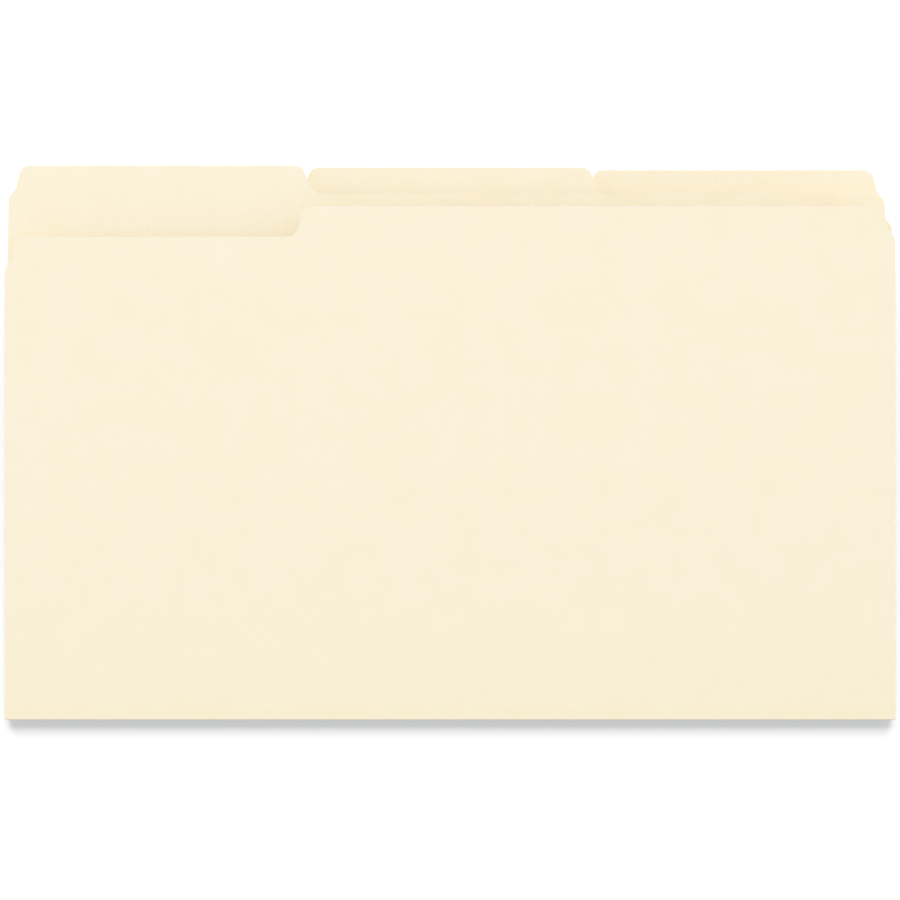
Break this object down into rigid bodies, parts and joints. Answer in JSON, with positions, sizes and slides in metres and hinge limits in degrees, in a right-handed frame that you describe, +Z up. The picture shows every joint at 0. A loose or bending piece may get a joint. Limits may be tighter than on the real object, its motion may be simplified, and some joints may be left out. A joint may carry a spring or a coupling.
{
  "type": "manila folder",
  "caption": "Stack of legal-size manila file folders with staggered third-cut tabs, undercut front leaves and scored, expanding fold edges that open like a book.",
  "frame": {"origin": "middle of the stack's footprint on the surface it lies on", "axes": "+X along the folded edge to the right, +Y from the folded edge towards the tabs, +Z up through the stack"},
  "size_m": [0.3746, 0.2358, 0.0259],
  "materials": {
    "manila_stock": "matte uncoated cream stock"
  },
  "bodies": {
    "right_back_leaf": {"right_back_leaf": "manila_stock"},
    "right_fold_edge": {"right_fold_edge": "manila_stock"},
    "right_strip": {"right_strip": "manila_stock"},
    "right_front_leaf": {"right_front_leaf": "manila_stock"},
    "centre_back_leaf": {"centre_back_leaf": "manila_stock"},
    "centre_fold_edge": {"centre_fold_edge": "manila_stock"},
    "centre_strip": {"centre_strip": "manila_stock"},
    "centre_front_leaf": {"centre_front_leaf": "manila_stock"},
    "left_back_leaf": {"left_back_leaf": "manila_stock"},
    "left_fold_edge": {"left_fold_edge": "manila_stock"},
    "left_strip": {"left_strip": "manila_stock"},
    "left_front_leaf": {"left_front_leaf": "manila_stock"}
  },
  "joints": [
    {"name": "right_open", "type": "hinge", "parent": "right_back_leaf", "child": "right_fold_edge", "pos_m": [0, -0.1165, 0.00108], "axis": [1, 0, 0], "range_deg": [0, 85]},
    {"name": "right_expand", "type": "slide", "parent": "right_fold_edge", "child": "right_front_leaf", "axis": [0, 0.0297, -0.9996], "range_m": [-0.006, 0]},
    {"name": "right_strip_turn", "type": "hinge", "parent": "right_fold_edge", "child": "right_strip", "pos_m": [0, -0.11545, 0.00216], "axis": [1, 0, 0], "range_deg": [0, 15.07]},
    {"name": "centre_pull_out", "type": "slide", "parent": "right_front_leaf", "child": "centre_back_leaf", "axis": [0, 0.9996, 0.0297], "range_m": [0, 0.23]},
    {"name": "centre_open", "type": "hinge", "parent": "centre_back_leaf", "child": "centre_fold_edge", "pos_m": [0, -0.11716, 0.00339], "axis": [1, 0, 0], "range_deg": [0, 90]},
    {"name": "centre_expand", "type": "slide", "parent": "centre_fold_edge", "child": "centre_front_leaf", "axis": [0, 0.0593, -0.9982], "range_m": [-0.006, 0]},
    {"name": "centre_strip_turn", "type": "hinge", "parent": "centre_fold_edge", "child": "centre_strip", "pos_m": [0, -0.11615, 0.0045], "axis": [1, 0, 0], "range_deg": [0, 15.07]},
    {"name": "left_pull_out", "type": "slide", "parent": "centre_front_leaf", "child": "left_back_leaf", "axis": [0, 0.9982, 0.0593], "range_m": [0, 0.23]},
    {"name": "left_open", "type": "hinge", "parent": "left_back_leaf", "child": "left_fold_edge", "pos_m": [0, -0.1179, 0.00568], "axis": [1, 0, 0], "range_deg": [0, 175]},
    {"name": "left_expand", "type": "slide", "parent": "left_fold_edge", "child": "left_front_leaf", "axis": [0, 0.0889, -0.996], "range_m": [-0.006, 0]},
    {"name": "left_strip_turn", "type": "hinge", "parent": "left_fold_edge", "child": "left_strip", "pos_m": [0, -0.11692, 0.00682], "axis": [1, 0, 0], "range_deg": [0, 15.07]}
  ],
  "couplings": [
    {"joint": "right_strip_turn", "follows": "right_expand", "rad_per_m": -43.831},
    {"joint": "centre_strip_turn", "follows": "centre_expand", "rad_per_m": -43.831},
    {"joint": "left_strip_turn", "follows": "left_expand", "rad_per_m": -43.831}
  ]
}
